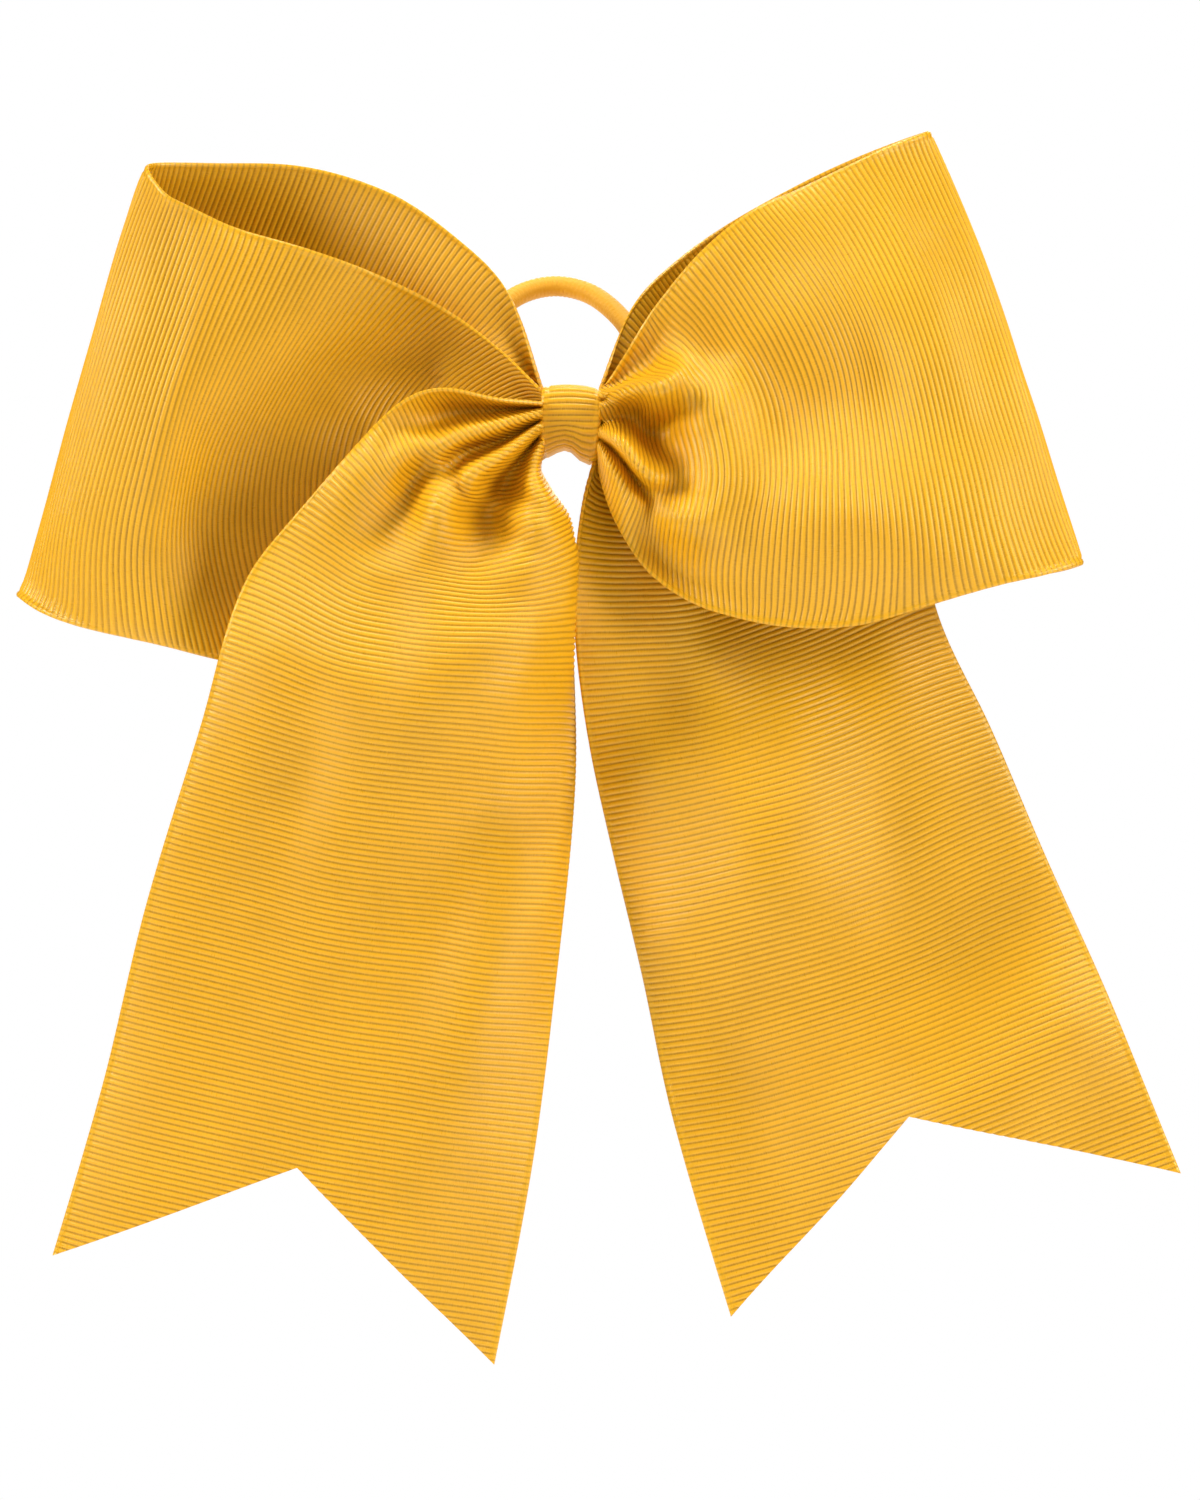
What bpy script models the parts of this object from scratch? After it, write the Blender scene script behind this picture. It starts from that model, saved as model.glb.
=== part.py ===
"""Cheer hair bow: a wide grosgrain ribbon gathered into two loops and two tails,
held by a narrow wrap, with an elastic ring behind it for the ponytail.

The bow is upright as worn: X to the wearer's left as seen from the front, front
facing -Y, Z up. The origin is the middle of the flat back face of the wrap's
overlapped end, which rests on the ponytail. All sizes below are in millimetres.
"""
import bpy
import bmesh
import math
import numpy as np

MM = 0.001

# Driving dimensions
SHEET = 0.8              # ribbon and its seam allowance as one sheet
GAP = 0.3                # clearance between pieces that touch
WRAP_LEFT = -4.8         # side edges of the centre wrap
WRAP_RIGHT = 4.5
WRAP_HALF_HEIGHT = 5.7
WRAP_CORNER = 2.6
GATHER_DEPTH = 2.2       # one gathered layer of ribbon under the wrap
GLUE_DEPTH = 0.4
ELASTIC_RADIUS = 1.7     # free elastic cord
ANCHOR_RADIUS = 1.45     # the same cord squeezed under the wrap
CRIMP_X = 3.0            # the sleeve that joins the elastic's ends
CRIMP_BORE = 1.15
CRIMP_WALL = 0.25
CRIMP_HALF_LENGTH = 0.75
THREAD_RADIUS = 0.22
THREAD_ROOM = 2 * THREAD_RADIUS + 2 * GAP
THREAD_SPAN = 1.0        # the turns lie within this of the middle
THREAD_TURNS = 3
GATHER_FILL = 0.95       # share of the wrap's inner height that a gathered layer fills
CREASES = 9              # pleats seen round a gathered layer, and their depth as a share
CREASE_DEPTH = 0.07
# Along a gathered layer: place, and its depth and height there as shares; the thread waists it
GATHER_STATIONS = [(-4.5, 1.0, 1.0), (-2.2, 1.0, 1.0), (-1.4, 0.86, 0.80),
                   (1.4, 0.86, 0.80), (2.2, 1.0, 1.0), (4.2, 1.0, 1.0)]
HINGE_Z = -48.0          # height at which the tails start to swing
LEFT_HINGE_Y = -19.5     # depths of the two tails there
RIGHT_HINGE_Y = -11.5
HINGE_GAP = 1.4          # ribbon left out at that line
FOLD_GAP = 2.2           # ribbon left out at the end fold of a loop

# Depths of the layers in the knot, from the back face at y = 0 to the front
FLAP_FRONT = -SHEET
GLUE_BACK = FLAP_FRONT - GAP
GLUE_FRONT = GLUE_BACK - GLUE_DEPTH
WRAP_BACK = GLUE_FRONT - GAP
ANCHOR_Y = WRAP_BACK - SHEET - GAP - ANCHOR_RADIUS
SQUEEZED_RADIUS = ANCHOR_RADIUS + GAP - THREAD_ROOM
BACK_LAYER = ANCHOR_Y - ANCHOR_RADIUS - GAP - GATHER_DEPTH / 2
MIDDLE_LAYER = BACK_LAYER - GATHER_DEPTH - GAP
FRONT_LAYER = MIDDLE_LAYER - GATHER_DEPTH - GAP
WRAP_FRONT = FRONT_LAYER - GATHER_DEPTH / 2 - THREAD_ROOM - SHEET

GOLD = (0.83, 0.42, 0.02, 1.0)
DARK_GOLD = (0.70, 0.34, 0.02, 1.0)
THREAD_COLOUR = (0.78, 0.40, 0.03, 1.0)
GLUE_COLOUR = (0.80, 0.76, 0.60, 1.0)
STEEL = (0.70, 0.70, 0.72, 1.0)

# A ribbon section: one selvedge, the other selvedge, forward bulge, pleat depth.
# Each list runs along the ribbon, away from the knot.
LEFT_TAIL_UPPER = [
    ((-5.5, FRONT_LAYER, 3.6), (-5.5, FRONT_LAYER, -3.6), 0.0, 0.5),
    ((-14.0, -14.5, 4.5), (-5.6, -14.5, -7.5), 1.0, 1.2),
    ((-24.0, -18.0, 4.2), (-2.4, -17.0, -12.0), 3.0, 1.6),
    ((-33.5, -21.0, -3.5), (0.2, -18.5, -18.0), 4.5, 1.0),
    ((-43.5, -22.0, -13.0), (1.0, -19.5, -24.5), 5.5, 0.4),
    ((-52.5, -22.0, -26.0), (0.4, -19.5, -32.0), 5.5, 0.0),
    ((-56.5, -20.5, -38.0), (0.2, -19.0, -40.5), 3.0, 0.0),
    ((-59.2, LEFT_HINGE_Y, HINGE_Z), (0.3, LEFT_HINGE_Y, HINGE_Z), 0.0, 0.0),
]
LEFT_TAIL_LOWER = [
    ((-59.2, LEFT_HINGE_Y, HINGE_Z), (0.3, LEFT_HINGE_Y, HINGE_Z), 0.0, 0.0),
    ((-66.0, -18.5, -73.5), (0.4, -17.0, -73.5), 4.0, 0.0),
    ((-73.5, -16.0, -99.0), (-4.0, -15.5, -99.0), 3.0, 0.0),
    ((-79.0, -14.5, -118.0), (-7.0, -14.5, -120.0), 2.5, 0.0),
]
LEFT_TIPS = ((-83.7, -14.0, -134.7), (-44.2, -16.5, -120.6), (-12.3, -14.0, -152.6))
RIGHT_TAIL_UPPER = [
    ((5.4, MIDDLE_LAYER, -3.6), (5.4, MIDDLE_LAYER, 3.6), 0.0, 0.5),
    ((4.6, -10.0, -9.0), (16.0, -9.6, 3.0), 0.5, 0.6),
    ((1.4, -10.5, -17.0), (33.0, -8.5, -5.0), 1.5, 0.4),
    ((0.6, -11.0, -27.0), (49.0, -8.5, -18.0), 2.5, 0.0),
    ((0.9, -11.5, -38.0), (60.0, -10.5, -34.0), 2.0, 0.0),
    ((2.1, RIGHT_HINGE_Y, HINGE_Z), (67.3, RIGHT_HINGE_Y, HINGE_Z), 0.0, 0.0),
]
RIGHT_TAIL_LOWER = [
    ((2.1, RIGHT_HINGE_Y, HINGE_Z), (67.3, RIGHT_HINGE_Y, HINGE_Z), 0.0, 0.0),
    ((8.7, -13.0, -77.0), (79.5, -12.0, -76.0), 3.0, 0.0),
    ((14.0, -14.0, -99.0), (88.5, -14.0, -96.0), 2.0, 0.0),
    ((18.5, -14.0, -115.0), (94.5, -14.0, -109.0), 1.5, 0.0),
]
RIGHT_TIPS = ((26.9, -14.0, -144.4), (54.4, -15.5, -112.3), (98.9, -14.0, -119.8))

# A loop runs from the knot out along its front, round its end fold and back
LEFT_LOOP = [
    ((-7.0, MIDDLE_LAYER, 5.0), (-7.0, MIDDLE_LAYER, -5.0), 0.0, 0.4),
    ((-14.7, -10.5, 13.5), (-13.0, -10.5, -14.0), 0.5, 0.6),
    ((-27.6, -12.5, 22.0), (-27.0, -12.0, -26.0), 0.5, 0.4),
    ((-46.9, -16.0, 29.0), (-45.0, -12.0, -35.0), 0.5, 0.0),
    ((-60.0, -19.0, 33.5), (-66.0, -10.0, -36.3), 1.0, 0.0),
    ((-66.0, -20.5, 37.5), (-81.0, -5.0, -33.0), 1.5, 0.0),
    ((-68.5, -18.5, 41.0), (-88.8, 1.5, -28.8), 0.0, 0.0),
    ((-63.5, -14.5, 42.0), (-83.0, 6.5, -30.5), -1.5, 0.0),
    ((-53.4, -11.0, 41.5), (-66.0, 9.0, -35.0), -2.0, 0.0),
    ((-40.5, -7.5, 40.3), (-46.0, 8.5, -34.0), -2.0, 0.0),
    ((-27.6, -6.5, 36.3), (-28.0, 2.0, -27.0), -1.5, 0.0),
    ((-14.7, -7.4, 27.0), (-14.0, -7.4, -15.0), -0.5, 0.0),
    ((-7.0, BACK_LAYER, 13.0), (-7.0, BACK_LAYER, -5.5), 0.0, 0.0),
]
RIGHT_LOOP = [
    ((7.0, FRONT_LAYER - 0.6, 5.5), (7.0, FRONT_LAYER - 0.6, -9.0), 0.0, 0.5),
    ((14.4, -14.0, 18.0), (14.0, -15.5, -24.5), 1.0, 0.9),
    ((24.0, -15.5, 29.0), (26.0, -18.5, -31.5), 2.0, 0.6),
    ((40.0, -15.0, 38.0), (44.0, -21.5, -33.8), 2.5, 0.0),
    ((51.5, -10.5, 44.3), (66.0, -23.0, -27.5), 2.5, 0.0),
    ((57.6, -3.0, 46.3), (82.6, -18.0, -23.1), 0.0, 0.0),
    ((51.5, 4.5, 45.4), (71.0, -7.0, -26.0), -2.5, 0.0),
    ((38.0, 8.0, 40.0), (46.0, 4.0, -30.0), -2.0, 0.0),
    ((24.0, 2.5, 31.5), (26.0, 2.0, -26.0), -1.0, 0.0),
    ((14.4, -7.4, 25.0), (14.4, -7.4, -15.0), -0.5, 0.0),
    ((7.0, BACK_LAYER, 15.0), (7.0, BACK_LAYER, -5.5), 0.0, 0.0),
]
PLEATS = 3
LEFT_LOOP_FOLD = 6       # index of the section on the end fold
RIGHT_LOOP_FOLD = 5

# The elastic ring lies in a plane that leans back from the vertical
RING_LEAN = math.radians(45)
RING_CENTRE_X = -2.7
RING_HALF_WIDTH = 14.0
RING_WIDEST = 13.0       # distance up the plane from the anchor
RING_TOP = 33.9
LEFT_STRAND = [(-5.3, 0.0), (-7.4, 0.1), (-11.4, 2.2), (-14.8, 6.4), (-16.5, 10.2), (-16.7, 12.3)]
RIGHT_STRAND = [(5.0, 0.0), (6.2, 0.1), (8.6, 2.4), (10.4, 6.8), (11.2, 10.4), (11.3, 12.3)]


def material(name, colour, roughness, metallic=0.0):
    mat = bpy.data.materials.new(name)
    mat.use_nodes = True
    shader = mat.node_tree.nodes["Principled BSDF"]
    shader.inputs["Base Color"].default_value = colour
    shader.inputs["Roughness"].default_value = roughness
    shader.inputs["Metallic"].default_value = metallic
    return mat


def add_mesh(name, points, faces, colour, roughness=0.75, metallic=0.0):
    """A named object in the bow's collection, from points in millimetres."""
    mesh = bpy.data.meshes.new(name)
    mesh.from_pydata([tuple(MM * float(c) for c in p) for p in points], [], faces)
    bm = bmesh.new()
    bm.from_mesh(mesh)
    bmesh.ops.recalc_face_normals(bm, faces=bm.faces)
    bm.to_mesh(mesh)
    bm.free()
    mesh.shade_smooth()
    mesh.set_sharp_from_angle(angle=math.radians(40))
    obj = bpy.data.objects.new(name, mesh)
    obj.data.materials.append(material(name + "_material", colour, roughness, metallic))
    BOW.objects.link(obj)
    return obj


def through(points, t):
    """The point at t (counted in control points) on a smooth curve through them."""
    points = np.asarray(points, float)
    last = len(points) - 1
    i = min(int(t), last - 1)
    u = t - i
    before = points[max(i - 1, 0)]
    after = points[min(i + 2, last)]
    slope_0 = (points[i + 1] - before) / (2 if i else 1)
    slope_1 = (after - points[i]) / (2 if i + 2 <= last else 1)
    return ((2 * u**3 - 3 * u**2 + 1) * points[i] + (u**3 - 2 * u**2 + u) * slope_0
            + (3 * u**2 - 2 * u**3) * points[i + 1] + (u**3 - u**2) * slope_1)


def across(section, columns):
    """Points from one selvedge to the other, bulged and pleated along Y."""
    edge_a, edge_b, bulge, pleat = section
    v = np.linspace(0, 1, columns)[:, None]
    points = np.array(edge_a) * (1 - v) + np.array(edge_b) * v
    points[:, 1] -= bulge * np.sin(math.pi * v[:, 0])
    points[:, 1] += pleat * np.sin(2 * math.pi * PLEATS * v[:, 0])
    return points


def sheet(name, sections, start, end, rows, columns, tips=None):
    """A ribbon stretch lofted between two places on a run of sections, then thickened.

    With tips, the far end is the swallowtail cut: selvedge tip, notch, selvedge tip.
    """
    rings = [across(section, columns) for section in sections]
    if tips:
        v = np.linspace(0, 2, columns)
        cut = [np.array(tips[0]) * (1 - w) + np.array(tips[1]) * w if w <= 1
               else np.array(tips[1]) * (2 - w) + np.array(tips[2]) * (w - 1) for w in v]
        rings[-1:] = [np.array(cut)]
    grid = [through(rings, t) for t in np.linspace(start, end, rows)]
    faces = [(i * columns + j, i * columns + j + 1, (i + 1) * columns + j + 1, (i + 1) * columns + j)
             for i in range(rows - 1) for j in range(columns - 1)]
    obj = add_mesh(name, np.concatenate(grid), faces, GOLD)
    solid = obj.modifiers.new("Thickness", "SOLIDIFY")
    solid.thickness = SHEET * MM
    solid.offset = 0
    return obj


def gap_in_sections(sections, at, length):
    """How far along the section count, on average over the width, a length reaches."""
    here = across(sections[at], 5)
    there = across(sections[at + 1], 5)
    return length / float(np.linalg.norm(there - here, axis=1).mean())


def loop(side, sections, fold):
    """The front and back panels of one loop, parted by a hair at the end fold."""
    half = FOLD_GAP / 2
    last = len(sections) - 1
    sheet(f"{side}_loop_front", sections, 0, fold - gap_in_sections(sections, fold - 1, half), 19, 13)
    sheet(f"{side}_loop_back", sections, fold + gap_in_sections(sections, fold, half), last, 19, 13)


def tail(side, upper, lower, tips):
    """A tail's fixed upper stretch and the swinging stretch below the hinge line."""
    last = len(upper) - 1
    half = HINGE_GAP / 2
    sheet(f"{side}_tail_gather", upper, 0, last - gap_in_sections(upper, last - 1, half), 19, 15)
    sheet(f"{side}_tail", lower, gap_in_sections(lower, 0, half), len(lower) - 1, 15, 11, tips)


def tube(name, points, radius, colour, radii=None):
    """A round cord along a list of points in millimetres."""
    curve = bpy.data.curves.new(name, "CURVE")
    curve.dimensions = "3D"
    curve.bevel_depth = radius * MM
    curve.bevel_resolution = 2
    curve.use_fill_caps = True
    spline = curve.splines.new("POLY")
    spline.points.add(len(points) - 1)
    for k, point in enumerate(points):
        spline.points[k].co = (*(MM * float(c) for c in point), 1)
        if radii:
            spline.points[k].radius = radii[k] / radius
    obj = bpy.data.objects.new(name, curve)
    obj.data.materials.append(material(name + "_material", colour, 0.85))
    BOW.objects.link(obj)


def rounded_outline(half_height, front, back, corner, steps=5):
    """Corner-rounded rectangle in the YZ plane, as (y, z) pairs."""
    outline = []
    corners = [(back - corner, half_height - corner, 0), (front + corner, half_height - corner, 90),
               (front + corner, corner - half_height, 180), (back - corner, corner - half_height, 270)]
    for y, z, turn in corners:
        for k in range(steps + 1):
            angle = math.radians(turn + 90 * k / steps)
            outline.append((y + corner * math.cos(angle), z + corner * math.sin(angle)))
    return outline


def centre_wrap():
    """A narrow band of folded ribbon round the gathers, open at both sides."""
    outline = rounded_outline(WRAP_HALF_HEIGHT - SHEET / 2, WRAP_FRONT + SHEET / 2,
                              WRAP_BACK - SHEET / 2, WRAP_CORNER)
    count = len(outline)
    points = [(x, y, z) for x in (WRAP_LEFT, WRAP_RIGHT) for y, z in outline]
    faces = [(k, (k + 1) % count, count + (k + 1) % count, count + k) for k in range(count)]
    obj = add_mesh("centre_wrap", points, faces, GOLD)
    solid = obj.modifiers.new("Thickness", "SOLIDIFY")
    solid.thickness = SHEET * MM
    solid.offset = 0
    solid.use_even_offset = True


def slab(name, size, centre, bevel, colour, roughness):
    """A small block with softened edges."""
    bpy.ops.mesh.primitive_cube_add(size=1)
    obj = bpy.context.object
    obj.name = name
    for vertex in obj.data.vertices:
        vertex.co = [MM * (c + s * k) for c, s, k in zip(centre, size, vertex.co)]
    edge = obj.modifiers.new("Edge", "BEVEL")
    edge.width = bevel * MM
    edge.segments = 2
    obj.data.materials.append(material(name + "_material", colour, roughness))
    for collection in list(obj.users_collection):
        collection.objects.unlink(obj)
    BOW.objects.link(obj)


def gather(name, layer):
    """One layer of ribbon crushed into pleats under the wrap, waisted by the thread."""
    half_height = GATHER_FILL * (WRAP_HALF_HEIGHT - SHEET - GAP)
    steps = 36
    points = []
    for x, depth, height in GATHER_STATIONS:
        for k in range(steps):
            angle = 2 * math.pi * k / steps
            square = max(abs(math.cos(angle)), abs(math.sin(angle)))
            crease = 1 - CREASE_DEPTH * (1 + math.cos(CREASES * angle)) / 2
            y = crease * depth * GATHER_DEPTH / 2 * math.cos(angle) / square ** 0.7
            z = crease * height * half_height * math.sin(angle) / square ** 0.5
            points.append((x, layer + y, z))
    faces = [(i * steps + k, i * steps + (k + 1) % steps, (i + 1) * steps + (k + 1) % steps,
              (i + 1) * steps + k) for i in range(len(GATHER_STATIONS) - 1) for k in range(steps)]
    faces.append(tuple(range(steps)))
    faces.append(tuple(range(len(points) - 1, len(points) - 1 - steps, -1)))
    add_mesh(name, points, faces, DARK_GOLD)


def gather_thread():
    """Three turns of thread cinching the gathers and the elastic at their waist."""
    inset = SHEET + GAP + THREAD_RADIUS
    outline = rounded_outline(WRAP_HALF_HEIGHT - inset, WRAP_FRONT + inset, WRAP_BACK - inset,
                              WRAP_CORNER - inset + SHEET / 2, steps=3)
    count = THREAD_TURNS * len(outline) + 1
    points = []
    for k in range(count):
        y, z = outline[k % len(outline)]
        points.append((THREAD_SPAN * (2 * k / (count - 1) - 1), y, z))
    tube("gather_thread", points, THREAD_RADIUS, THREAD_COLOUR)


def ring_point(x, up):
    """A point of the elastic's plane: across, and up the plane from the anchor."""
    return (x, ANCHOR_Y + up * math.sin(RING_LEAN), up * math.cos(RING_LEAN))


def elastic():
    """The elastic ring: squeezed stretch under the wrap, two strands and the far bight."""
    stations = [WRAP_LEFT, -2.6, -1.6, 1.4, 2.0, 4.0, WRAP_RIGHT]
    neck = CRIMP_BORE - GAP
    radii = [ANCHOR_RADIUS, ANCHOR_RADIUS, SQUEEZED_RADIUS, SQUEEZED_RADIUS, neck, neck, neck]
    tube("elastic_anchor", [(x, ANCHOR_Y, 0) for x in stations], ANCHOR_RADIUS, GOLD, radii=radii)
    for side, route in (("left", LEFT_STRAND), ("right", RIGHT_STRAND)):
        steps = 3 * (len(route) - 1)
        points = [ring_point(*through(route, k / 3)) for k in range(steps + 1)]
        tube(f"elastic_{side}_strand", points, ELASTIC_RADIUS, GOLD)
    rise = RING_TOP - RING_WIDEST
    points = [ring_point(RING_CENTRE_X - RING_HALF_WIDTH * math.cos(a), RING_WIDEST + rise * math.sin(a))
              for a in np.linspace(0, math.pi, 25)]
    tube("elastic_bight", points, ELASTIC_RADIUS, GOLD)


def elastic_crimp():
    """A thin sleeve that joins the elastic's ends, hidden under the wrap."""
    radius = CRIMP_BORE + CRIMP_WALL / 2
    steps = 20
    points = [(CRIMP_X + side * CRIMP_HALF_LENGTH, ANCHOR_Y + radius * math.cos(2 * math.pi * k / steps),
               radius * math.sin(2 * math.pi * k / steps)) for side in (-1, 1) for k in range(steps)]
    faces = [(k, (k + 1) % steps, steps + (k + 1) % steps, steps + k) for k in range(steps)]
    obj = add_mesh("elastic_crimp", points, faces, STEEL, 0.35, 1.0)
    solid = obj.modifiers.new("Wall", "SOLIDIFY")
    solid.thickness = CRIMP_WALL * MM
    solid.offset = 0


for old in list(bpy.data.objects):
    bpy.data.objects.remove(old, do_unlink=True)
BOW = bpy.data.collections.new("cheer_hair_bow")
bpy.context.scene.collection.children.link(BOW)

centre_wrap()
slab("wrap_end_flap", (8.8, SHEET, 8.4), (-0.15, FLAP_FRONT / 2, 0.0), 0.2, GOLD, 0.75)
slab("wrap_glue", (6.0, GLUE_DEPTH, 5.0), (-0.15, (GLUE_BACK + GLUE_FRONT) / 2, 0.0), 0.15, GLUE_COLOUR, 0.4)
gather("front_gather", FRONT_LAYER)
gather("middle_gather", MIDDLE_LAYER)
gather("back_gather", BACK_LAYER)
gather_thread()
tail("left", LEFT_TAIL_UPPER, LEFT_TAIL_LOWER, LEFT_TIPS)
tail("right", RIGHT_TAIL_UPPER, RIGHT_TAIL_LOWER, RIGHT_TIPS)
loop("left", LEFT_LOOP, LEFT_LOOP_FOLD)
loop("right", RIGHT_LOOP, RIGHT_LOOP_FOLD)
elastic()
elastic_crimp()
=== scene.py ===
"""Looks of a cheer hair bow: grosgrain ribbon, its centre wrap and the elastic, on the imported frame.

Lengths are in millimetres until a mesh is made. X runs to the right as the bow is seen from the front,
Y runs back to the hair and Z is up, with the origin on the flat back of the knot.
"""
import math
import bpy
import bmesh
import numpy as np
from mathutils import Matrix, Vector


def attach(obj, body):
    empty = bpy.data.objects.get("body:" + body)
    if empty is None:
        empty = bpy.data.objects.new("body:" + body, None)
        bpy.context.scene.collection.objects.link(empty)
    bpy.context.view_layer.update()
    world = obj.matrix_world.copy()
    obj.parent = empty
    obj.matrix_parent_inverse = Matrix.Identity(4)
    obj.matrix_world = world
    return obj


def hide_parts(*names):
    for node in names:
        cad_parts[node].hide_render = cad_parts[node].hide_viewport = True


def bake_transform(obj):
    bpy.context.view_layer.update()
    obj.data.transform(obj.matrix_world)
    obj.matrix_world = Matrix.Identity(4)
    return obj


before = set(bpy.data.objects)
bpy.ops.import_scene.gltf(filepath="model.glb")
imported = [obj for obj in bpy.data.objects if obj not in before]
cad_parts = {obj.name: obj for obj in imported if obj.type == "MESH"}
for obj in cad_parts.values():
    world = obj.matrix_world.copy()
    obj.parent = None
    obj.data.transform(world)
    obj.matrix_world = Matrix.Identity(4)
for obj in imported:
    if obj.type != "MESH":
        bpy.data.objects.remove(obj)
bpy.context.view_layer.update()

MM = 0.001
RIBBON_WIDTH = 76.2          # three-inch grosgrain
RIB_PITCH = 0.966
RIB_RELIEF = 0.16            # height of a rib's crown over its mean surface
RIB_FADE = (0.85, 1.35)      # distance from the edge over which the ribs rise
RIBBON_HALF_THICKNESS = 0.22
SELVEDGE = 1.0               # woven edge where the ribs stop
SELVEDGE_BEAD = 0.13
SELVEDGE_TWIST = 0.05        # relief of the stitches along the bead
EDGE_TAPER = 0.25            # the last stretch before the edge, where the ribbon thins
EDGE_THICKNESS = 0.3         # share of the thickness that is left at the edge

# Phases within one rib at which a row of vertices is placed: valley, flanks, crown
RIB_ROWS = [(0.0, -1.0), (0.17, 0.1), (0.5, 1.0), (0.83, 0.1)]
EDGE_COLUMNS = [0.0, 0.12, 0.35, 0.6, 0.85, 1.05, 1.5]    # columns of vertices near an edge
COLUMN_STEP = 1.55           # between the columns elsewhere

# Reading the drawn sections
SECTION_COLUMNS = 33         # points across each section
SECTION_STEPS = 12           # steps from one section to the next when lengths are measured
CURVE_STEPS = 24             # steps for each point of a drawn curve
FOLD_STEPS = 12              # and for each point of a soft fold's line

# Relaxing a ribbon from its drawn sections to a sheet that has not stretched
GRID_STEPS = (6.0, 3.0, 1.6)
ROUNDS = (200, 200, 100)     # rounds of relaxing on each grid
PULL = 0.03                  # towards the drawn place in the front view, each round
DEPTH_PULL = 0.05            # towards the drawn depth
PLEAT_PULL = 0.35            # pull of the pleats at the knot, fading out over PLEAT_REACH
PLEAT_REACH = 45.0
SELVEDGE_PULL = 0.15         # the selvedges are outlines in the photo, so they are held harder
SELVEDGE_DEPTH_PULL = 0.01
KNOT_REACH = 28.0            # the crushed stretch next to the wrap
KNOT_PULL = 0.6
END_PULL = 0.4               # added at the ribbon's very end, inside the wrap
GATHER_REACH = 70.0          # how far the gathers at the knot take up the ribbon's width
BENDING = 0.08               # how fast bends are smoothed out
SHEAR = 0.3                  # stiffness of the diagonals, where along and across are 1
SQUEEZE = 0.25               # stiffness against squeezing, where it is 1 against stretching
TURN_FADE = 10.0             # on each side of a loop's turn, where the front's soft folds fade out

# ---- the ribbons as drawn

# Sections of each ribbon's middle surface, from the knot outwards. Each runs from selvedge to
# selvedge through points (x, y, z). A tail's first selvedge is its outer one on the left and its
# inner one on the right; a loop's is its upper one.
LEFT_TAIL = [
    [(-4.5, -16, 2.5), (-4.5, -12.5, 2), (-4.5, -17, 1), (-4.5, -12.5, 0), (-4.5, -17.5, -1),
     (-4.5, -12.5, -2), (-4.5, -17, -3.5), (-4.5, -15, -4.5), (-4.5, -12, -5)],
    [(-12, -20, 3), (-12, -14, 1.5), (-12, -21, -1.5), (-11, -14, -3.5), (-10, -23, -5.5),
     (-8, -14, -6.5), (-6, -21, -8), (-5, -17, -8.5), (-5.5, -14, -7.5)],
    [(-20.5, -23, 4.5), (-19.5, -15.5, 0.5), (-19, -24, -4), (-17.5, -15.5, -6), (-16, -26, -10),
     (-10.5, -15.5, -11), (-5.5, -24, -12), (-3, -18, -12), (-3.5, -15.5, -11.5)],
    [(-27.5, -22, 2), (-27, -20, -2), (-26.5, -23, -6.5), (-24, -20, -9.5), (-20, -25, -13.5),
     (-13, -19, -16), (-6, -25, -16.5), (-0.5, -19, -16), (-1.5, -17, -15.5)],
    [(-35, -22, -5.5), (-32.5, -23, -10), (-30.5, -24, -13.5), (-27, -23, -17.5), (-22.5, -25, -21),
     (-15, -24, -23.5), (-6.5, -25, -23), (0.5, -19, -21.5), (0, -13, -21.5)],
    [(-43.5, -20, -15), (-37.5, -23, -20), (-32, -25, -24.5), (-26, -25, -26.5), (-21, -26, -28),
     (-13.5, -26, -29.5), (-6, -25, -29.5), (0.5, -19, -29), (-0.5, -13, -29)],
    [(-52, -19.5, -26), (-44, -22, -29.5), (-36, -24, -33.5), (-28, -25, -35), (-20.5, -28, -36),
     (-13, -28, -36), (-6, -26, -36.5), (0, -18, -36.5), (0, -12, -36.5)],
    [(-59, -18, -48.5), (-51, -20, -51), (-42.5, -20, -53.5), (-34.5, -23, -55.5), (-26.5, -25, -56.5),
     (-18, -25, -57.5), (-9.5, -22, -58.5), (-2, -15, -58.5), (0.5, -11, -59)],
    [(-68.5, -13, -78.5), (-60, -14.5, -80.5), (-50.5, -15, -83), (-41, -18, -85.5), (-32, -20, -87),
     (-22.5, -20, -88), (-14, -19, -89.5), (-6, -14, -90), (-2.5, -11, -90.5)],
    [(-76, -8, -108), (-67.5, -11, -110), (-58.5, -13, -112), (-49, -15, -114), (-40, -16, -116),
     (-31, -16, -117.5), (-22, -15, -119), (-12.5, -12, -120.5), (-6.5, -10, -121.5)],
    [(-88, -6, -148), (-79.5, -8, -150), (-70, -9, -152), (-60.5, -10, -154), (-51, -11, -156),
     (-41.5, -11, -158), (-32.5, -10, -160), (-22, -9, -161.5), (-14.5, -8, -163)],
]
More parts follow.
